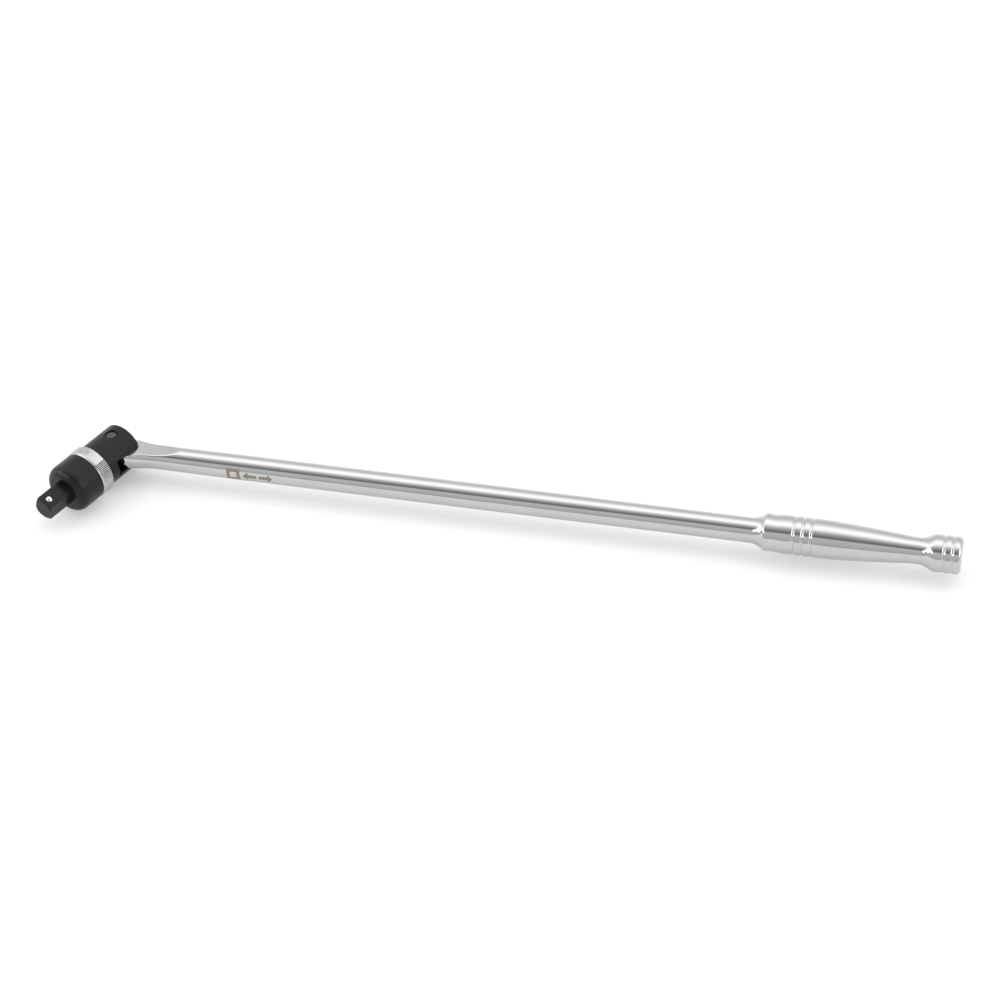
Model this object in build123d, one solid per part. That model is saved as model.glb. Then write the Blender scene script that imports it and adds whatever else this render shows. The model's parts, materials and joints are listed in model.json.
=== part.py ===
from build123d import *
import os
from math import cos, sin, radians

# Ratcheting flex-head breaker bar, 1/2 in square drive.
# Millimetres and degrees. Origin: centre of the drive square's tip face.
# +X runs along the handle, +Z along the pivot pin.
#
# The handle is drawn about the pivot with +X along the bar. The head is drawn in
# head coordinates: Z runs from the pivot to the tip of the square, X along the pin.

# Driving dimensions: handle
REACH = 584.0           # pivot to the end of the grip
TILT = 110.8            # rest angle between the handle and the drive axis
EYE_R = 12.3            # rounded eye of the tang
TANG_HALF = 5.2         # half thickness of the machined eye
SPOT_R = 17.0           # machined spot around the eye
SHOULDER_HALF = 6.0     # half thickness just outside the spot
FLAT_END = 28.0         # the flattened neck is level up to here
FLAT_SWEEP = 90.0       # radius that brings the flat back to the round bar
BAR_R = 8.75
GRIP_START = 447.0
BAR_END_R = 8.38        # the bar tapers to this radius at the grip
GRIP_R = 12.8
NECK_AT = 556.5
NECK_R = 8.72
COLLAR_R = 12.3
END_ROUND = 3.0
GROOVES = (476.1, 482.0, 487.6)
COLLAR_GROOVES = (572.6, 578.0)
GROOVE_ROUND = 1.1
GROOVE_DEPTH = 0.55

# Driving dimensions: yoke and pivot
YOKE_R = 16.28
YOKE_TOP = -10.0
YOKE_SHOULDER = 20.45
SLOT_HALF = 5.45
SLOT_FLOOR = 12.8
RELIEF_R = 17.2         # outside this radius from the pin the ears are thinner,
RELIEF_HALF = 6.35      # which lets the neck's shoulder pass
PIN_R = 4.0
PIN_HALF = 14.9
PIN_FIT = 0.05
FRICTION_BALL_R = 2.0

# Driving dimensions: selector ring and housing
JOURNAL_R = 13.0
RUN_FIT = 0.1
RING_R = 18.0
RING_TOP = 20.6
RING_BOTTOM = 30.45
RING_BEVEL_R = 17.45
SERRATION_PATCHES = 3
SERRATIONS = 12
SERRATION_PITCH = 3.9
SERRATION_CENTRE = -65.0
HOUSING_R = 17.5
HOUSING_TOP = 30.6
HOUSING_EDGE = 44.6
DOME_MIDDLE = (16.1, 48.9)
DOME_END_R = 12.4
HOUSING_BOTTOM = 51.2
TEETH = 24
TOOTH_TIP_R = 12.4
TOOTH_ROOT_R = 13.6
TOOTH_TOP = 35.4
TOOTH_BOTTOM = 42.2
CAVITY_FLOOR = 43.2
FLANGE_END = 35.1
CARRIER_R = 11.9
CARRIER_END = 42.2
PILOT_R = 4.0
PILOT_END = 46.6

# Driving dimensions: square
SQUARE = 12.7
SQUARE_TIP = 72.0
SQUARE_TURNED_R = 8.65  # the square's corners are turned to this radius
TIP_R = 6.6             # radius of the tip face inside its domed rim
TIP_DOME_R = 13.6
SQUARE_ROLL = -17.0
SOCKET_BALL_R = 2.78
SOCKET_BALL_PROUD = 1.3
SOCKET_BALL_H = 66.1

# Driving dimensions: pawls and selector detent
PAWL_PIVOT = (7.4, -5.4)
PAWL_PIVOT_R = 2.0
PAWL_PIN_R = 1.0
PAWL_SWING = 12.0       # turn between engaged and held back
PAWL_TOP = 27.0
PAWL_WAIST_TOP = 30.3
PAWL_WAIST_END = 35.7
PAWL_END = 41.9
PAWL_TOOTH = ((11.8, 1.0), (13.3, 0.3), (13.3, -0.5), (11.8, -1.3))
PAWL_NOSE = ((11.8, 1.0), (13.9, 0.8), (13.9, -1.0), (11.8, -1.3))
PAWL_SPRING_H = 38.5
PAWL_SPRING_Y = 0.6
PAWL_SPRING_SEAT = 2.8
POCKET_TOP = 26.8
CAM_R = 14.5
CAM_SPAN = (-25.5, 6.0)
SELECTOR_TURN = 30.0
DETENT_H = 23.6
DETENT_BALL_R = 1.5
DETENT_BALL_AT = 12.05


def rod(radius, low, high):
    """Cylinder about Z between two heights."""
    return Pos(0, 0, (low + high) / 2) * Cylinder(radius, high - low)


def turned(*lines):
    """Solid turned about Z from an outline in the XZ plane."""
    return revolve(make_face(lines), Axis.Z)


def outline(*points):
    """Closed outline in the XZ plane from (radius, height) pairs."""
    return Polyline(*[(r, 0, h) for r, h in points], close=True)


def along_x(solid):
    """Turn a solid that is drawn about Z so that it lies along X."""
    return Rot(0, 90, 0) * solid


def wedge(first, last, low, high, reach=30.0):
    """Prism that covers the angles first to last, seen along Z."""
    corners = [(0, 0)]
    for angle in (first, (first + last) / 2, last):
        corners.append((reach * cos(radians(angle)), reach * sin(radians(angle))))
    return extrude(Pos(0, 0, low) * make_face(Polyline(*corners, close=True)), high - low)


def coil(radius, wire, length, turns):
    """Compression spring that stands on the XY plane."""
    path = Helix(pitch=length / turns, height=length, radius=radius)
    section = Plane(origin=path @ 0, z_dir=path % 0) * Circle(wire)
    return Pos(0, 0, wire) * sweep(section, path=path)


# Handle

def handle_outline():
    """Half outline of the forging, about the X axis."""
    eye_end = (2.0, (EYE_R ** 2 - 4.0) ** 0.5)
    eye = ThreePointArc((-EYE_R, 0), (-EYE_R * cos(radians(45)), EYE_R * sin(radians(45))), eye_end)
    flare = Spline([eye_end, (15.0, 10.4), (25.0, 8.9), (36.0, 8.45)],
                   tangents=[(eye_end[1], -eye_end[0]), (1, 0.01)])
    bar = Polyline((36.0, 8.45), (90.0, BAR_R), (270.0, BAR_R), (GRIP_START, BAR_END_R))
    shoulder = ThreePointArc((GRIP_START, BAR_END_R), (452.6, 9.65), (455.9, 11.6))
    lead = Spline([(455.9, 11.6), (459.5, 12.4), (470.0, GRIP_R)],
                  tangents=[(0.55, 0.84), (1, 0)])
    barrel = Line((470.0, GRIP_R), (492.0, GRIP_R))
    taper = Spline([(492.0, GRIP_R), (516.0, 11.75), (540.0, 9.86), (NECK_AT, NECK_R)],
                   tangents=[(1, 0), (1, 0)])
    flare_out = Spline([(NECK_AT, NECK_R), (561.5, 9.95), (565.2, 11.8), (568.5, COLLAR_R)],
                       tangents=[(1, 0), (1, 0)])
    collar = Line((568.5, COLLAR_R), (REACH - END_ROUND, COLLAR_R))
    corner = END_ROUND * cos(radians(45))
    edge_r = COLLAR_R - END_ROUND
    edge = ThreePointArc((REACH - END_ROUND, COLLAR_R),
                         (REACH - END_ROUND + corner, edge_r + corner), (REACH, edge_r))
    end_face = Line((REACH, edge_r), (REACH, 0))
    axis = Line((REACH, 0), (-EYE_R, 0))
    return [eye, flare, bar, shoulder, lead, barrel, taper, flare_out, collar, edge, end_face, axis]


def neck_cutter():
    """What the forging loses above the flat of its neck."""
    rise_end = 52.0
    rise = SHOULDER_HALF + (rise_end - FLAT_END) ** 2 / (2 * FLAT_SWEEP)
    middle = (FLAT_END + rise_end) / 2
    middle_rise = SHOULDER_HALF + (middle - FLAT_END) ** 2 / (2 * FLAT_SWEEP)
    flat = Line((-20, 0, SHOULDER_HALF), (FLAT_END, 0, SHOULDER_HALF))
    sweep_up = ThreePointArc((FLAT_END, 0, SHOULDER_HALF), (middle, 0, middle_rise), (rise_end, 0, rise))
    lid = Polyline((rise_end, 0, rise), (rise_end, 0, 20), (-20, 0, 20), (-20, 0, SHOULDER_HALF))
    slab = extrude(make_face([flat, sweep_up, lid]), 20, both=True)
    spot = turned(outline((0, TANG_HALF), (SPOT_R, TANG_HALF), (SPOT_R + 1.3, SHOULDER_HALF + 0.1), (0, 10)))
    return slab + spot


def eye_disc():
    """Machined eye about the pin, with bevelled rims."""
    bevel = 1.1
    return turned(outline((0, -TANG_HALF), (EYE_R - bevel, -TANG_HALF), (EYE_R, bevel - TANG_HALF),
                          (EYE_R, TANG_HALF - bevel), (EYE_R - bevel, TANG_HALF), (0, TANG_HALF)))


def handle_bar():
    """One forging: eye, flattened neck, round bar and turned grip."""
    forging = revolve(make_face(handle_outline()), Axis.X)
    cutter = neck_cutter()
    forging = forging - cutter - mirror(cutter, Plane.XY) + eye_disc()
    forging -= rod(PIN_R + PIN_FIT, -10, 10)
    for places, radius in ((GROOVES, GRIP_R), (COLLAR_GROOVES, COLLAR_R)):
        for x in places:
            ring = Torus(radius + GROOVE_ROUND - GROOVE_DEPTH, GROOVE_ROUND)
            forging -= Pos(x, 0, 0) * along_x(ring)
    return forging


# Pawls

def pawl_plan(tip):
    """Plan of the forward pawl, with the given tip polygon."""
    heel = Pos(*PAWL_PIVOT) * Circle(PAWL_PIVOT_R)
    body = make_face(Polyline((9.2, 1.9), (11.9, 1.3), (11.9, -1.9), (9.0, -3.6), close=True))
    return make_hull((heel + body).edges()) + make_face(Polyline(*tip, close=True))


def swung(shape, angle):
    """Turn a shape about the forward pawl's pivot."""
    return Pos(*PAWL_PIVOT) * Rot(0, 0, angle) * Pos(-PAWL_PIVOT[0], -PAWL_PIVOT[1]) * shape


def pawl():
    """Forward pawl, engaged: a cam nose above, a narrow waist and a tooth below."""
    nose = extrude(Pos(0, 0, PAWL_TOP) * pawl_plan(PAWL_NOSE), PAWL_WAIST_TOP - PAWL_TOP)
    tooth_plan = pawl_plan(PAWL_TOOTH)
    waist = extrude(Pos(0, 0, PAWL_WAIST_TOP) * tooth_plan, PAWL_WAIST_END - PAWL_WAIST_TOP)
    waist &= rod(CARRIER_R - 0.05, PAWL_WAIST_TOP, PAWL_WAIST_END)
    tooth = extrude(Pos(0, 0, PAWL_WAIST_END) * tooth_plan, PAWL_END - PAWL_WAIST_END)
    bore = Pos(*PAWL_PIVOT, 0) * rod(PAWL_PIN_R + PIN_FIT, PAWL_TOP - 1, PAWL_END + 1)
    return nose + waist + tooth - bore


def pawl_pocket():
    """Room in the shank for the forward pawl at both ends of its swing."""
    plan = make_face(Polyline((5.16, -4.7), (7.35, 2.45), (15.0, 2.6), (15.0, -4.6),
                              (12.0, -6.2), (9.5, -6.5), close=True))
    plan += Pos(*PAWL_PIVOT) * Circle(PAWL_PIVOT_R + 0.35)
    return extrude(Pos(0, 0, POCKET_TOP) * plan, CARRIER_END + 1 - POCKET_TOP)


def opposite(solid):
    """The reverse pawl's side: mirror image, half a turn round."""
    return Rot(0, 0, 180) * mirror(solid, Plane.XZ)


def pawl_pin():
    """Pivot pin of the forward pawl."""
    return Pos(*PAWL_PIVOT, 0) * rod(PAWL_PIN_R, 24.2, CARRIER_END - 0.05)


def pawl_spring(length):
    """Spring that presses the forward pawl outward."""
    wire = 0.2
    spring = coil(0.85, wire, length - 2 * wire, 5)
    return Pos(PAWL_SPRING_SEAT, PAWL_SPRING_Y, PAWL_SPRING_H) * along_x(spring)


# Head

def slot_room():
    """Block from the slot's floor upward."""
    block = Box(50, 50, SLOT_FLOOR - YOKE_TOP + 10, align=(Align.CENTER, Align.CENTER, Align.MAX))
    return Pos(0, 0, SLOT_FLOOR) * block


def yoke_cuts():
    """Slot between the ears, its relief and entry, and the pin's hole."""
    slot = Box(2 * SLOT_HALF, 50, SLOT_FLOOR - YOKE_TOP + 10, align=(Align.CENTER, Align.CENTER, Align.MAX))
    cuts = Pos(0, 0, SLOT_FLOOR) * slot
    relief = rod(40, -RELIEF_HALF, RELIEF_HALF) - rod(RELIEF_R, -RELIEF_HALF - 1, RELIEF_HALF + 1)
    cuts += along_x(relief) & slot_room()
    entry = outline((-SLOT_HALF - 2, YOKE_TOP - 1), (SLOT_HALF + 2, YOKE_TOP - 1),
                    (SLOT_HALF, YOKE_TOP + 1), (-SLOT_HALF, YOKE_TOP + 1))
    cuts += extrude(make_face(entry), 30, both=True)
    cuts += along_x(rod(PIN_R, -20, 20))
    rim = turned(outline((0, 14), (PIN_R - 0.9, 14), (PIN_R + 0.9, 17), (0, 17)))
    return cuts + along_x(rim + mirror(rim, Plane.XY))


def head_yoke():
    """Clevis with the ears, the journal for the ring and the pawl carrier."""
    body = turned(outline((0, YOKE_TOP), (YOKE_R - 1.0, YOKE_TOP), (YOKE_R - 0.3, YOKE_TOP + 0.3),
                          (YOKE_R, YOKE_TOP + 1.0), (YOKE_R, YOKE_SHOULDER - 0.5),
                          (YOKE_R - 0.5, YOKE_SHOULDER), (JOURNAL_R, YOKE_SHOULDER),
                          (JOURNAL_R, 31.1), (12.06, 31.1), (12.06, 32.3), (JOURNAL_R, 32.3),
                          (JOURNAL_R, 33.4), (12.2, 33.4), (12.2, 34.6), (JOURNAL_R, 34.6),
                          (JOURNAL_R, FLANGE_END), (CARRIER_R, FLANGE_END), (CARRIER_R, CARRIER_END),
                          (PILOT_R, CARRIER_END), (PILOT_R, PILOT_END), (0, PILOT_END)))
    body -= yoke_cuts()
    body -= rod(FRICTION_BALL_R + 0.08, SLOT_FLOOR - 1, 19.6)
    body -= Pos(0, 0, DETENT_H) * Rot(-90, 0, 0) * rod(DETENT_BALL_R + 0.1, 5.4, 16)
    for side in (lambda solid: solid, opposite):
        body -= side(pawl_pocket())
        body -= side(Pos(*PAWL_PIVOT, 0) * rod(PAWL_PIN_R + 0.02, 24.2, POCKET_TOP + 1))
        hole = rod(1.25, PAWL_SPRING_SEAT - 0.1, 8.0)
        body -= side(Pos(0, PAWL_SPRING_Y, PAWL_SPRING_H) * along_x(hole))
    return body


def pivot_pin():
    """Pin through both ears, a little below their surface."""
    half = turned(outline((0, 0), (PIN_R, 0), (PIN_R, PIN_HALF - 0.6), (PIN_R - 0.6, PIN_HALF), (0, PIN_HALF)))
    return along_x(half + mirror(half, Plane.XY))


def friction_ball():
    """Ball that bears on the rim of the eye."""
    return Pos(0, 0, EYE_R + 0.06 + FRICTION_BALL_R) * Sphere(FRICTION_BALL_R)


def friction_spring():
    """Spring behind the friction ball."""
    return Pos(0, 0, 16.5) * coil(1.4, 0.28, 2.4, 3)


def selector_ring():
    """Reversing ring: serrated patches outside, cam pockets and a detent track inside."""
    ring = turned(outline((JOURNAL_R + RUN_FIT, RING_TOP), (RING_R - 0.6, RING_TOP), (RING_R, RING_TOP + 0.6),
                          (RING_R, RING_BOTTOM - 1.5), (RING_BEVEL_R, RING_BOTTOM),
                          (JOURNAL_R + RUN_FIT, RING_BOTTOM)))
    low, high = CAM_SPAN
    pocket = rod(CAM_R, POCKET_TOP, RING_BOTTOM + 1)
    ring -= pocket & wedge(low, high, POCKET_TOP, RING_BOTTOM + 1)
    reverse = (180 - SELECTOR_TURN - high, 180 - SELECTOR_TURN - low)
    ring -= pocket & wedge(*reverse, POCKET_TOP, RING_BOTTOM + 1)
    track = Pos(0, 0, DETENT_H) * Torus(DETENT_BALL_AT, DETENT_BALL_R + 0.15)
    ring -= track & wedge(90 - SELECTOR_TURN - 2, 92, DETENT_H - 3, DETENT_H + 3)
    for angle in (90, 90 - SELECTOR_TURN):
        ring -= Rot(0, 0, angle) * Pos(DETENT_BALL_AT + 0.2, 0, DETENT_H) * Sphere(DETENT_BALL_R + 0.25)
    groove = make_face(Polyline((RING_R - 0.5, 0), (RING_R + 0.3, 0.64), (RING_R + 0.3, -0.64), close=True))
    cutter = extrude(Pos(0, 0, RING_TOP - 1) * groove, RING_BOTTOM - RING_TOP - 0.2)
    for patch in range(SERRATION_PATCHES):
        centre = SERRATION_CENTRE + patch * 360 / SERRATION_PATCHES
        for k in range(SERRATIONS):
            ring -= Rot(0, 0, centre + (k - (SERRATIONS - 1) / 2) * SERRATION_PITCH) * cutter
    return ring


def selector_ball():
    """Detent ball of the reversing ring."""
    return Pos(0, DETENT_BALL_AT, DETENT_H) * Sphere(DETENT_BALL_R)


def selector_spring():
    """Spring behind the detent ball."""
    return Pos(0, 5.45, DETENT_H) * Rot(-90, 0, 0) * coil(1.05, 0.22, 4.5, 5)


def retaining_ring():
    """Split ring, half in the shank's groove and half in the housing's."""
    ring = rod(14.0, 33.5, 34.5) - rod(12.3, 33, 35)
    return ring - wedge(244, 256, 33, 35)


def seal_ring():
    """Rubber ring in the shank's upper groove."""
    return Pos(0, 0, 31.7) * Torus(12.57, 0.49)


def thrust_washer():
    """Washer between the shank's end and the housing's floor."""
    return rod(11.4, 42.3, 43.1) - rod(4.6, 42, 44)


def drive_housing():
    """Cup with inner ratchet teeth, and the male square below it."""
    shell = [Polyline((0, 0, HOUSING_TOP), (HOUSING_R - 0.4, 0, HOUSING_TOP),
                      (HOUSING_R, 0, HOUSING_TOP + 0.4), (HOUSING_R, 0, HOUSING_EDGE)),
             ThreePointArc((HOUSING_R, 0, HOUSING_EDGE), (DOME_MIDDLE[0], 0, DOME_MIDDLE[1]),
                           (DOME_END_R, 0, HOUSING_BOTTOM)),
             Polyline((DOME_END_R, 0, HOUSING_BOTTOM), (0, 0, HOUSING_BOTTOM), (0, 0, HOUSING_TOP))]
    body = turned(*shell)
    body -= rod(JOURNAL_R + RUN_FIT, HOUSING_TOP - 1, 36)
    body -= rod(14.25, 33.3, 34.7)
    body -= rod(TOOTH_ROOT_R, FLANGE_END + 0.2, CAVITY_FLOOR)
    body -= rod(PILOT_R + RUN_FIT, CAVITY_FLOOR - 1, PILOT_END + 0.4)
    tooth = make_face(Polyline((TOOTH_TIP_R, 0.32), (TOOTH_ROOT_R + 0.2, 1.35),
                               (TOOTH_ROOT_R + 0.2, -1.35), (TOOTH_TIP_R, -0.32), close=True))
    bar = extrude(Pos(0, 0, TOOTH_TOP) * tooth, TOOTH_BOTTOM - TOOTH_TOP)
    for k in range(TEETH):
        body += Rot(0, 0, (k + 0.5) * 360 / TEETH) * bar
    body += Rot(0, 0, SQUARE_ROLL) * drive_square()
    cup = Rot(0, 0, SQUARE_ROLL) * Pos(0, 0, SOCKET_BALL_H) * along_x(ball_bore())
    return body - cup


def drive_square():
    """Male square with turned corners and a domed rim at its tip."""
    root = HOUSING_BOTTOM - 1
    block = Box(SQUARE, SQUARE, SQUARE_TIP - root, align=(Align.CENTER, Align.CENTER, Align.MAX))
    block = Pos(0, 0, SQUARE_TIP) * block & rod(SQUARE_TURNED_R, root, SQUARE_TIP)
    return block & Pos(0, 0, SQUARE_TIP - (TIP_DOME_R ** 2 - TIP_R ** 2) ** 0.5) * Sphere(TIP_DOME_R)


def ball_bore():
    """Bore of the retaining ball, with a lip that keeps the ball in."""
    centre = SQUARE / 2 + SOCKET_BALL_PROUD - SOCKET_BALL_R
    return turned(outline((0, -3.0), (SOCKET_BALL_R + 0.08, -3.0), (SOCKET_BALL_R + 0.08, centre + 0.5),
                          (2.5, SQUARE / 2), (2.5, SQUARE), (0, SQUARE)))


def socket_ball():
    """Retaining ball of the square."""
    centre = SQUARE / 2 + SOCKET_BALL_PROUD - SOCKET_BALL_R
    return Rot(0, 0, SQUARE_ROLL) * Pos(centre, 0, SOCKET_BALL_H) * Sphere(SOCKET_BALL_R)


def socket_spring():
    """Spring behind the retaining ball."""
    spring = Pos(0, 0, -2.95) * coil(2.1, 0.3, 4.3, 4)
    return Rot(0, 0, SQUARE_ROLL) * Pos(0, 0, SOCKET_BALL_H) * along_x(spring)


def build():
    """Every piece by name, placed in the part's own frame."""
    drive = (cos(radians(TILT)), -sin(radians(TILT)), 0)
    pivot = Pos(-SQUARE_TIP * drive[0], -SQUARE_TIP * drive[1], 0)
    head = pivot * Plane(origin=(0, 0, 0), x_dir=(0, 0, 1), z_dir=drive).location
    pieces = {"handle_bar": pivot * handle_bar()}
    in_head = {
        "head_yoke": head_yoke(), "pivot_pin": pivot_pin(),
        "friction_ball": friction_ball(), "friction_spring": friction_spring(),
        "selector_ring": selector_ring(), "selector_ball": selector_ball(),
        "selector_spring": selector_spring(),
        "pawl_forward": pawl(), "pawl_reverse": opposite(swung(pawl(), PAWL_SWING)),
        "pawl_pin_forward": pawl_pin(), "pawl_pin_reverse": opposite(pawl_pin()),
        "pawl_spring_forward": pawl_spring(5.0), "pawl_spring_reverse": opposite(pawl_spring(3.95)),
        "seal_ring": seal_ring(), "retaining_ring": retaining_ring(), "thrust_washer": thrust_washer(),
        "drive_housing": drive_housing(),
        "socket_ball": socket_ball(), "socket_spring": socket_spring(),
    }
    for name, solid in in_head.items():
        pieces[name] = head * solid
    return pieces


os.makedirs("parts", exist_ok=True)
for name, solid in build().items():
    export_step(solid, f"parts/{name}.step")
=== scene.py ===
import json
from math import atan2, cos, hypot, pi, radians, sin, sqrt

import bmesh
import bpy
import numpy as np
from mathutils import Matrix, Quaternion, Vector


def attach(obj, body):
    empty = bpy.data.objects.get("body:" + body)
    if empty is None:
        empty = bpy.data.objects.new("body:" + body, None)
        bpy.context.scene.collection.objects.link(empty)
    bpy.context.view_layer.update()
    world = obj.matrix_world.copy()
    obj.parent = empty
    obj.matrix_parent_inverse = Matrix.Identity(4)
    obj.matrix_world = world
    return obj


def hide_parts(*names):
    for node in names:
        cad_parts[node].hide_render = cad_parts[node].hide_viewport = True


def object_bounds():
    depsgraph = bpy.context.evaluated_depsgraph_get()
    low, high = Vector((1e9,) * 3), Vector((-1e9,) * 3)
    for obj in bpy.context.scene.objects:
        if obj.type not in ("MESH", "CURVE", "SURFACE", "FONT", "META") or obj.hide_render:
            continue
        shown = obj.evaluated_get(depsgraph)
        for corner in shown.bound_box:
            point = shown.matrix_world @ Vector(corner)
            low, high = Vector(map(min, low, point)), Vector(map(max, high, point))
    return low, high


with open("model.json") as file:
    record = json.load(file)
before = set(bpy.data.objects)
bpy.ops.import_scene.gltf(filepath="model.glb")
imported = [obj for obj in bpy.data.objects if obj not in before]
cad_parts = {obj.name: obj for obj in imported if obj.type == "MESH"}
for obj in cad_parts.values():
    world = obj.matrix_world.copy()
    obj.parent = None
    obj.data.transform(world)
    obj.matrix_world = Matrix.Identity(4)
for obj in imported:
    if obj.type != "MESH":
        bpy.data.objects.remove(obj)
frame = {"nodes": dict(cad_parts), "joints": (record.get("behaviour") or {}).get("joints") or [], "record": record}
packed_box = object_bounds()
nodes = frame["nodes"]
joints = {joint["name"]: joint for joint in frame["joints"]}
PIVOT = Vector(joints["head_tilt"]["pos_m"])
DRIVE = Vector(joints["drive_spin"]["axis"]).normalized()
PIN = Vector((0.0, 0.0, 1.0))
SIDE = PIN.cross(DRIVE)
MM = 0.001


# Camera

def add_camera():
    """Camera of the studio view, which leans a little to one side."""
    place = PIVOT + Vector((0.64616, -1.15632, 1.03154))
    aim = PIVOT + Vector((0.27800, -0.00097, 0.00012))
    lean = radians(-4.64)
    data = bpy.data.cameras.new("camera")
    data.lens = 85.68
    data.sensor_width = 36.0
    camera = bpy.data.objects.new("camera", data)
    bpy.context.scene.collection.objects.link(camera)
    turn = (aim - place).to_track_quat("-Z", "Y") @ Quaternion((0, 0, 1), lean)
    camera.matrix_world = Matrix.Translation(place) @ turn.to_matrix().to_4x4()
    bpy.context.scene.camera = camera


# Finishes

class Finish:
    """A material's node tree round one Principled shader."""

    def __init__(self, name, **values):
        self.material = bpy.data.materials.new(name)
        self.material.use_nodes = True
        self.tree = self.material.node_tree
        self.shader = self.tree.nodes["Principled BSDF"]
        for key, value in values.items():
            self.shader.inputs[key.replace("_", " ")].default_value = value
        self.place = self.add("ShaderNodeTexCoord").outputs["Object"]

    def add(self, kind, links=None, values=None, **settings):
        """Add a node with its settings, input values and input links."""
        node = self.tree.nodes.new(kind)
        for key, value in settings.items():
            setattr(node, key, value)
        for key, value in (values or {}).items():
            node.inputs[key].default_value = value
        for key, socket in (links or {}).items():
            self.tree.links.new(socket, node.inputs[key])
        return node

    def noise(self, size_mm, detail=3.0, roughness=0.5, stretch=(1, 1, 1)):
        """Noise from 0 to 1 with features of about that size."""
        place = self.place
        if stretch != (1, 1, 1):
            place = self.add("ShaderNodeMapping", {"Vector": place}, {"Scale": stretch}).outputs[0]
        node = self.add("ShaderNodeTexNoise", {"Vector": place},
                        {"Scale": 1000.0 / size_mm, "Detail": detail, "Roughness": roughness})
        return node.outputs["Fac"]

    def spread(self, socket, low, high, start=0.3, end=0.7):
        """Map a 0 to 1 value to low to high."""
        node = self.add("ShaderNodeMapRange", {"Value": socket},
                        {"From Min": start, "From Max": end, "To Min": low, "To Max": high})
        return node.outputs["Result"]

    def blend(self, factor, first, second):
        """Mix two colours or colour sockets."""
        node = self.add("ShaderNodeMix", {"Factor": factor}, data_type="RGBA")
        for key, colour in (("A", first), ("B", second)):
            socket = [s for s in node.inputs if s.name == key and s.type == "RGBA"][0]
            if isinstance(colour, tuple):
                socket.default_value = (*colour, 1.0)
            else:
                self.tree.links.new(colour, socket)
        return [s for s in node.outputs if s.type == "RGBA"][0]

    def math(self, operation, first, second=None):
        """One arithmetic node."""
        node = self.add("ShaderNodeMath", operation=operation)
        for k, value in enumerate((first, second)):
            if isinstance(value, (int, float)):
                node.inputs[k].default_value = value
            elif value is not None:
                self.tree.links.new(value, node.inputs[k])
        return node.outputs[0]

    def set(self, key, socket):
        """Link a socket to an input of the shader."""
        self.tree.links.new(socket, self.shader.inputs[key])

    def rounded(self, radius_mm):
        """Normal with the edges rounded to that radius."""
        return self.add("ShaderNodeBevel", values={"Radius": radius_mm * MM}, samples=6).outputs[0]

    def edges(self, radius_mm):
        """1 along sharp edges and 0 on open faces, with the rounded normal."""
        rounded = self.rounded(radius_mm)
        flat = self.add("ShaderNodeNewGeometry").outputs["Normal"]
        dot = self.add("ShaderNodeVectorMath", {0: rounded, 1: flat}, operation="DOT_PRODUCT")
        return self.spread(dot.outputs["Value"], 1.0, 0.0, 0.86, 0.995), rounded

    def hollow_shade(self, reach_mm):
        """Painted-shade mask from ambient occlusion: 0 deep in narrow hollows and 1 on open faces."""
        node = self.add("ShaderNodeAmbientOcclusion", values={"Distance": reach_mm * MM},
                        samples=8, only_local=True)
        return self.spread(node.outputs["AO"], 0.0, 1.0, 0.62, 0.95)

    def bump(self, *layers, normal=None):
        """Stack bump layers, each a (height socket, depth in mm) pair."""
        for height, depth_mm in layers:
            links = {"Height": height}
            if normal is not None:
                links["Normal"] = normal
            normal = self.add("ShaderNodeBump", links, {"Distance": depth_mm * MM}).outputs[0]
        self.set("Normal", normal)


def chrome_plate():
    """Polished chrome over a forging: faint waviness, haze and hairlines."""
    f = Finish("chrome_plate_finish", Metallic=1.0)
    haze = f.noise(22.0, 4.0)
    f.set("Base Color", f.blend(haze, (0.50, 0.503, 0.51), (0.55, 0.552, 0.555)))
    hair = f.noise(0.9, 2.0, stretch=(0.05, 1, 1))
    rough = f.math("ADD", f.spread(haze, 0.045, 0.085), f.spread(hair, 0.0, 0.03, 0.5, 0.75))
    f.set("Roughness", rough)
    f.bump((f.noise(14.0, 2.0), 0.012), (hair, 0.0006))
    return f.material


def black_phosphate():
    """Fine matt black conversion coating, rubbed thin on the edges."""
    f = Finish("black_phosphate_finish", Specular_IOR_Level=0.26)
    edge, rounded = f.edges(0.35)
    patch = f.noise(6.0, 4.0)
    grain = f.noise(0.22, 3.0, 0.65)
    coat = f.blend(patch, (0.003, 0.0032, 0.0045), (0.006, 0.0063, 0.0083))
    coat = f.blend(f.spread(grain, 0.0, 0.45, 0.5, 0.8), coat, (0.016, 0.0165, 0.0185))
    rubbed = f.math("MULTIPLY", edge, f.spread(f.noise(1.6, 4.0), 0.0, 0.8, 0.42, 0.66))
    f.set("Base Color", f.blend(rubbed, coat, (0.05, 0.05, 0.053)))
    worn = f.math("MULTIPLY", rubbed, 0.10)
    f.set("Roughness", f.math("SUBTRACT", f.spread(patch, 0.32, 0.40), worn))
    f.bump((grain, 0.02), (f.noise(1.4, 2.0), 0.012), normal=rounded)
    return f.material


def satin_chrome():
    """Satin plating with a fine turned grain, and painted shade darkening its narrow grooves."""
    f = Finish("satin_chrome_finish", Metallic=1.0)
    edge, rounded = f.edges(0.08)
    patch = f.noise(5.0, 3.0)
    grain = f.noise(0.18, 3.0, 0.6)
    colour = f.blend(patch, (0.47, 0.473, 0.48), (0.51, 0.513, 0.52))
    colour = f.blend(f.math("MULTIPLY", edge, 0.6), colour, (0.60, 0.60, 0.61))
    # Painted shade: the base colour turns dark grey deep in narrow grooves, such as the serrations.
    f.set("Base Color", f.blend(f.hollow_shade(0.7), (0.13, 0.13, 0.137), colour))
    f.set("Roughness", f.math("ADD", f.spread(patch, 0.26, 0.30), f.spread(grain, -0.02, 0.04)))
    f.bump((grain, 0.003), normal=rounded)
    return f.material


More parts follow.
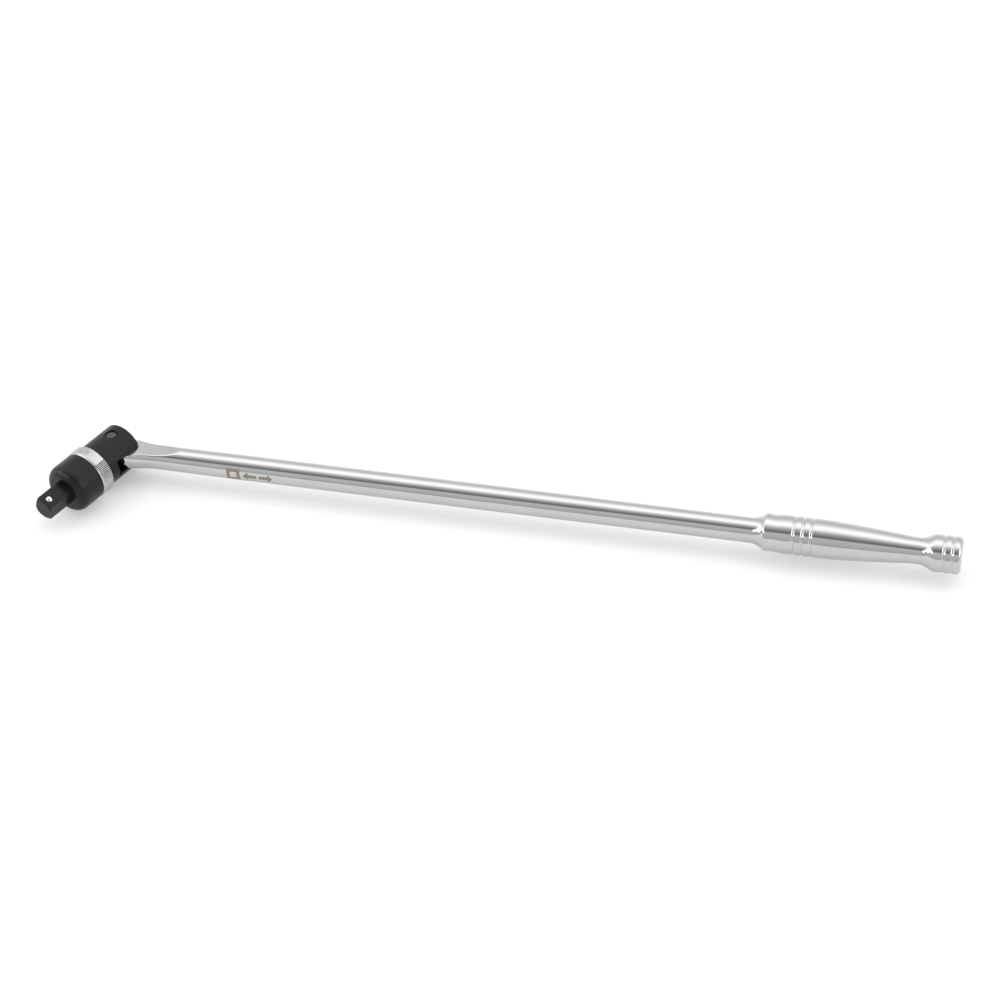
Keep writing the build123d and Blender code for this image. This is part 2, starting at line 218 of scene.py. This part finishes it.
def steel(name, dark, light, low, high):
    """Bare steel with light oil and handling marks."""
    f = Finish(name, Metallic=1.0)
    patch = f.noise(2.2, 4.0)
    f.set("Base Color", f.blend(patch, dark, light))
    f.set("Roughness", f.spread(f.noise(0.5, 3.0), low, high))
    f.bump((f.noise(0.25, 2.0), 0.003), normal=f.rounded(0.15))
    return f.material


def seal_rubber():
    """Soft black rubber with a dusty bloom."""
    f = Finish("seal_rubber_finish")
    bloom = f.noise(1.5, 4.0)
    f.set("Base Color", f.blend(bloom, (0.012, 0.012, 0.012), (0.035, 0.034, 0.033)))
    f.set("Roughness", f.spread(bloom, 0.55, 0.8))
    f.bump((f.noise(0.3, 2.0), 0.01))
    return f.material


def etched_mark():
    """Laser marking: matt, warm grey brown."""
    f = Finish("etched_mark_finish", Metallic=0.6)
    grain = f.noise(0.3, 2.0)
    f.set("Base Color", f.blend(grain, (0.20, 0.17, 0.12), (0.33, 0.29, 0.21)))
    f.set("Roughness", f.spread(grain, 0.45, 0.6))
    f.bump((grain, 0.004))
    return f.material


def engraved_mark():
    """Grey of a shallow engraving in satin chrome."""
    f = Finish("engraved_mark_finish", Metallic=0.8)
    grain = f.noise(0.25, 2.0)
    f.set("Base Color", f.blend(grain, (0.13, 0.13, 0.14), (0.24, 0.24, 0.25)))
    f.set("Roughness", f.spread(grain, 0.4, 0.55))
    f.bump((grain, 0.004))
    return f.material


FINISHES = {
    "chrome_plate": chrome_plate(),
    "black_phosphate": black_phosphate(),
    "satin_chrome": satin_chrome(),
    "pin_steel": steel("pin_steel_finish", (0.06, 0.06, 0.063), (0.16, 0.16, 0.165), 0.22, 0.34),
    "ball_steel": steel("ball_steel_finish", (0.66, 0.66, 0.66), (0.76, 0.76, 0.75), 0.10, 0.18),
    "spring_steel": steel("spring_steel_finish", (0.32, 0.32, 0.33), (0.48, 0.48, 0.49), 0.24, 0.36),
    "pawl_steel": steel("pawl_steel_finish", (0.24, 0.24, 0.245), (0.36, 0.36, 0.365), 0.28, 0.42),
    "seal_rubber": seal_rubber(),
}
ETCHED = etched_mark()
ENGRAVED = engraved_mark()


def dress_nodes():
    """Give every CAD node the finish of its own slot."""
    for part in frame["record"]["subparts"]:
        for slot in nodes[part["node"]].material_slots:
            slot.material = FINISHES[part["material_slot"]]


def new_piece(name, mesh, body, finish):
    """Add a mesh to the scene as a piece of one body."""
    for face in mesh.polygons:
        face.use_smooth = True
    mesh.materials.append(finish)
    piece = bpy.data.objects.new(name, mesh)
    bpy.context.scene.collection.objects.link(piece)
    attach(piece, body)
    return piece


# Chrome handle

# Sizes in mm, with stations along the bar from the pivot.
EYE_R = 12.3
PIN_HOLE_R = 4.05
TANG_HALF = 5.2
SPOT_R = 17.0
SPOT_RISE = 0.7         # slope of the wall round the spot face
SHOULDER_HALF = 6.0
FLAT_END = 28.0
FLAT_SWEEP = 90.0       # radius that brings the flat back to the round bar
REACH = 584.0
END_ROUND = 3.0
COLLAR_R = 12.3
GRIP_R = 12.8
GROOVES = (476.1, 482.0, 487.6)
COLLAR_GROOVES = (572.6, 578.0)
GROOVE_ROUND = 1.1
GROOVE_DEPTH = 0.55
AROUND = 176            # points round each station


def arc(first, middle, last, count):
    """Points on the circle through three points."""
    (ax, ay), (bx, by), (cx, cy) = first, middle, last
    d = 2 * (ax * (by - cy) + bx * (cy - ay) + cx * (ay - by))
    a2, b2, c2 = ax * ax + ay * ay, bx * bx + by * by, cx * cx + cy * cy
    ox = (a2 * (by - cy) + b2 * (cy - ay) + c2 * (ay - by)) / d
    oy = (a2 * (cx - bx) + b2 * (ax - cx) + c2 * (bx - ax)) / d
    radius = hypot(ax - ox, ay - oy)
    start, end = atan2(ay - oy, ax - ox), atan2(cy - oy, cx - ox)
    if end - start > pi:
        end -= 2 * pi
    if start - end > pi:
        end += 2 * pi
    turns = np.linspace(start, end, count)
    return [(ox + radius * cos(t), oy + radius * sin(t)) for t in turns]


def smooth(points, slope_in, slope_out, step):
    """Cubic curve through the points with the given end slopes."""
    x = np.array([p[0] for p in points])
    y = np.array([p[1] for p in points])
    h = np.diff(x)
    n = len(x)
    rows = np.zeros((n, n))
    right = np.zeros(n)
    rows[0, 0] = rows[-1, -1] = 1.0
    right[0], right[-1] = slope_in, slope_out
    for k in range(1, n - 1):
        rows[k, k - 1], rows[k, k], rows[k, k + 1] = h[k], 2 * (h[k - 1] + h[k]), h[k - 1]
        right[k] = 3 * (h[k] * (y[k] - y[k - 1]) / h[k - 1] + h[k - 1] * (y[k + 1] - y[k]) / h[k])
    slope = np.linalg.solve(rows, right)
    found = []
    for k in range(n - 1):
        count = max(2, round(h[k] / step))
        for t in np.linspace(0, 1, count, endpoint=False):
            value = ((1 + 2 * t) * (1 - t) ** 2 * y[k] + t * (1 - t) ** 2 * h[k] * slope[k]
                     + t * t * (3 - 2 * t) * y[k + 1] + t * t * (t - 1) * h[k] * slope[k + 1])
            found.append((x[k] + t * h[k], value))
    return found + [(x[-1], y[-1])]


def handle_profile():
    """(distance along the bar, radius) stations of the turned shape, in mm."""
    join = (2.0, sqrt(EYE_R ** 2 - 4.0))
    stations = arc((-EYE_R, 0.0), (-EYE_R * cos(radians(45)), EYE_R * sin(radians(45))), join, 34)
    stations += smooth([join, (15.0, 10.4), (25.0, 8.9), (36.0, 8.45)], -0.165, 0.01, 0.3)
    stations += smooth([(36.0, 8.45), (90.0, 8.75)], 0.0056, 0.0056, 0.6)
    stations += smooth([(90.0, 8.75), (270.0, 8.75), (447.0, 8.38)], 0.0, -0.0021, 4.0)
    stations += arc((447.0, 8.38), (452.6, 9.65), (455.9, 11.6), 26)
    stations += smooth([(455.9, 11.6), (459.5, 12.4), (470.0, GRIP_R)], 1.2, 0.0, 0.35)
    stations += smooth([(470.0, GRIP_R), (492.0, GRIP_R)], 0.0, 0.0, 0.14)
    stations += smooth([(492.0, GRIP_R), (516.0, 11.75), (540.0, 9.86), (556.5, 8.72)], 0.0, 0.0, 1.0)
    stations += smooth([(556.5, 8.72), (561.5, 9.95), (565.2, 11.8), (568.5, COLLAR_R)], 0.0, 0.0, 0.3)
    stations += smooth([(568.5, COLLAR_R), (581.0, COLLAR_R)], 0.0, 0.0, 0.14)
    bend = END_ROUND * cos(radians(45))
    rim = COLLAR_R - END_ROUND
    stations += arc((581.0, COLLAR_R), (581.0 + bend, rim + bend), (REACH, rim), 16)
    stations += [(REACH, rim * (1 - k / 12)) for k in range(1, 13)]
    x = np.array([s[0] for s in stations])
    radius = np.array([s[1] for s in stations])
    keep = np.concatenate([[True], np.hypot(np.diff(x), np.diff(radius)) > 1e-4])
    return x[keep], radius[keep]


def soft_min(a, b, width):
    """Smaller of two values, with the corner between them rounded."""
    h = np.clip(0.5 + 0.5 * (b - a) / width, 0.0, 1.0)
    return b * (1 - h) + a * h - width * h * (1 - h)


def grooved(x, radius):
    """Sink the round-bottomed grooves into the grip and the collar."""
    for places, outer in ((GROOVES, GRIP_R), (COLLAR_GROOVES, COLLAR_R)):
        for at in places:
            inside = np.clip(GROOVE_ROUND ** 2 - (x - at) ** 2, 0.0, None)
            floor = outer + GROOVE_ROUND - GROOVE_DEPTH - np.sqrt(inside)
            radius = np.where(inside > 0, soft_min(radius, floor, 0.16), radius)
    return radius


def handle_mesh():
    """Turned shape with the neck flattened and the eye spot-faced, all its ridges softened."""
    x, radius = handle_profile()
    radius = grooved(x, radius)
    angle = np.arange(AROUND) * 2 * pi / AROUND
    X, A = np.meshgrid(x, angle, indexing="ij")
    R = np.repeat(radius[:, None], AROUND, axis=1)
    Y = R * np.cos(A)
    Z = R * np.sin(A)
    level = SHOULDER_HALF + np.clip(X - FLAT_END, 0.0, 60.0) ** 2 / (2 * FLAT_SWEEP)
    spot = TANG_HALF + np.clip(np.hypot(X, Y) - SPOT_R, 0.0, None) * SPOT_RISE
    cap = soft_min(level, spot, 0.25)
    flat = np.sign(Z) * soft_min(np.abs(Z), cap, 0.55)
    Z = np.where(np.abs(Z) > 1.0, flat, Z)
    places = np.stack([X, Y, Z], axis=-1).reshape(-1, 3) * MM + np.array(PIVOT)
    faces = []
    for i in range(len(x) - 1):
        low, high = i * AROUND, (i + 1) * AROUND
        for j in range(AROUND):
            k = (j + 1) % AROUND
            faces.append((low + j, low + k, high + k, high + j))
    mesh = bpy.data.meshes.new("handle_skin")
    mesh.from_pydata(places.tolist(), [], faces)
    work = bmesh.new()
    work.from_mesh(mesh)
    bmesh.ops.remove_doubles(work, verts=work.verts, dist=2e-6)
    bmesh.ops.recalc_face_normals(work, faces=work.faces)
    work.to_mesh(mesh)
    work.free()
    return mesh


def drill(mesh, radius, low, high):
    """Cut a round hole along the pin's axis through a mesh."""
    body = bpy.data.objects.new("drilled", mesh)
    work = bmesh.new()
    bmesh.ops.create_cone(work, cap_ends=True, segments=96, radius1=radius, radius2=radius, depth=high - low,
                          matrix=Matrix.Translation(PIVOT + PIN * (low + high) / 2))
    tool_mesh = bpy.data.meshes.new("drill")
    work.to_mesh(tool_mesh)
    work.free()
    tool = bpy.data.objects.new("drill", tool_mesh)
    for item in (body, tool):
        bpy.context.scene.collection.objects.link(item)
    cut = body.modifiers.new("cut", "BOOLEAN")
    cut.object = tool
    cut.operation = "DIFFERENCE"
    cut.solver = "EXACT"
    bpy.context.view_layer.update()
    result = bpy.data.meshes.new_from_object(body.evaluated_get(bpy.context.evaluated_depsgraph_get()))
    for item in (body, tool):
        bpy.data.objects.remove(item)
    return result


def add_handle():
    """Chrome handle, in place of the plainer CAD mesh."""
    mesh = drill(handle_mesh(), PIN_HOLE_R * MM, -10 * MM, 10 * MM)
    handle = new_piece("handle_forging", mesh, "handle", FINISHES["chrome_plate"])
    mesh.set_sharp_from_angle(angle=radians(50))
    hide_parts("handle_bar")


# Marks

def strip_mesh(name, shapes, wrap):
    """Flat shapes laid on a curved face. A shape is rows of (across, low, high) that wrap puts in place."""
    points = []
    faces = []
    for rows in shapes:
        start = len(points)
        for across, low, high in rows:
            points += [wrap(low, across), wrap(high, across)]
        for k in range(len(rows) - 1):
            a = start + 2 * k
            faces.append((a, a + 1, a + 3, a + 2))
    mesh = bpy.data.meshes.new(name)
    mesh.from_pydata(points, [], faces)
    return mesh


def bar_shape(low, high, bottom, top):
    """Rectangle in rows."""
    return [(v, low, high) for v in np.linspace(bottom, top, 9)]


def arrow_shape(tail, tip, shaft, head):
    """Arrow along the length: a shaft and a head, with their half heights."""
    way = 1 if tip > tail else -1
    neck = tip - way * head * 1.1
    rows = [(v, tip - way * abs(v) * 1.1, neck) for v in np.linspace(-head, head, 15)]
    return [bar_shape(tail, neck, -shaft, shaft), rows]


def add_bar_mark():
    """Etched mark on the bar: a square outline for the drive and an arrow each way."""
    radius = 8.77

    def wrap(along, across):
        turn = pi + across / radius
        return PIVOT + Vector((along, radius * cos(turn), radius * sin(turn))) * MM

    shapes = [bar_shape(86, 95.5, 2.4, 4.7), bar_shape(86, 95.5, -4.7, -2.4),
              bar_shape(86, 88.3, -2.4, 2.4), bar_shape(93.2, 95.5, -2.4, 2.4)]
    shapes += arrow_shape(107.6, 97.6, 1.3, 3.3) + arrow_shape(109.2, 119.2, 1.3, 3.3)
    mesh = strip_mesh("bar_mark", shapes, wrap)
    new_piece("bar_mark", mesh, "handle", ETCHED)


def add_ring_mark():
    """Arrows on the reversing ring, one for each way it turns."""
    radius = 18.01

    def wrap(along, across):
        turn = radians(-7.0) - along / radius
        place = (PIN * cos(turn) + SIDE * sin(turn)) * radius + DRIVE * (25.4 + across)
        return PIVOT + place * MM

    mesh = strip_mesh("ring_mark", arrow_shape(-0.7, -5.3, 0.55, 1.9) + arrow_shape(0.7, 5.3, 0.55, 1.9), wrap)
    new_piece("ring_mark", mesh, "selector", ENGRAVED)


# Studio

def add_floor():
    """Pale light table at the height of the lowest point."""
    size = 30.0
    mesh = bpy.data.meshes.new("floor")
    low = packed_box[0][2]
    mesh.from_pydata([(-size, -size, low), (size, -size, low), (size, size, low), (-size, size, low)],
                     [], [(0, 1, 2, 3)])
    f = Finish("floor_finish", Emission_Color=(1.0, 1.0, 1.0, 1.0), Emission_Strength=0.32)
    cloud = f.noise(400.0, 2.0)
    f.set("Base Color", f.blend(cloud, (0.61, 0.61, 0.61), (0.63, 0.63, 0.63)))
    f.set("Roughness", f.spread(cloud, 0.75, 0.85))
    mesh.materials.append(f.material)
    floor = bpy.data.objects.new("floor", mesh)
    bpy.context.scene.collection.objects.link(floor)


# Angle in degrees above the +Y horizon, going over the top, and brightness there.
SKY = ((0, 1.26), (17, 0.96), (29, 0.90), (41, 1.00), (54, 1.33), (66, 1.80), (78, 1.94), (90, 1.60),
       (102, 0.88), (114, 0.52), (126, 0.27), (133, 0.29), (140, 0.82), (150, 0.81), (162, 0.73), (180, 0.63))
SKY_STRENGTH = 2.0


def add_sky():
    """Soft studio surround: long light boxes and darker gaps that run along the bar."""
    world = bpy.data.worlds.new("studio")
    world.use_nodes = True
    bpy.context.scene.world = world
    tree = world.node_tree
    make = tree.nodes.new
    place = make("ShaderNodeTexCoord")
    split = make("ShaderNodeSeparateXYZ")
    turn = make("ShaderNodeMath")
    turn.operation = "ARCTAN2"
    share = make("ShaderNodeMath")
    share.operation = "DIVIDE"
    share.inputs[1].default_value = pi
    ramp = make("ShaderNodeValToRGB")
    points = ramp.color_ramp.elements
    for k, (angle, light) in enumerate(SKY):
        stop = points[k] if k < 2 else points.new(angle / 180)
        stop.position = angle / 180
        level = light / SKY_STRENGTH
        stop.color = (level, level, level * 1.01, 1)
    tree.links.new(place.outputs["Generated"], split.inputs[0])
    tree.links.new(split.outputs["Z"], turn.inputs[0])
    tree.links.new(split.outputs["Y"], turn.inputs[1])
    tree.links.new(turn.outputs[0], share.inputs[0])
    tree.links.new(share.outputs[0], ramp.inputs[0])
    back = tree.nodes["Background"]
    back.inputs["Strength"].default_value = SKY_STRENGTH
    tree.links.new(ramp.outputs[0], back.inputs["Color"])


def add_box_light(name, place, aim, width, depth, power):
    """One soft box that faces a point."""
    data = bpy.data.lights.new(name, "AREA")
    data.shape = "RECTANGLE"
    data.size = width
    data.size_y = depth
    data.energy = power
    light = bpy.data.objects.new(name, data)
    bpy.context.scene.collection.objects.link(light)
    way = (Vector(aim) - Vector(place)).to_track_quat("-Z", "Y")
    light.matrix_world = Matrix.Translation(place) @ way.to_matrix().to_4x4()


add_camera()
dress_nodes()
add_handle()
add_bar_mark()
add_ring_mark()
add_floor()
add_sky()
add_box_light("box_left", (-3.0, -0.8, 1.5), (0.2, 0.0, 0.0), 1.6, 1.6, 26.0)
add_box_light("box_front", (-1.5, -1.55, 1.5), (0.1, 0.0, 0.0), 1.0, 0.45, 10.0)
add_box_light("box_right", (3.6, -0.8, 1.5), (0.4, 0.0, 0.0), 1.6, 1.6, 26.0)
bpy.context.scene.view_settings.view_transform = "Standard"
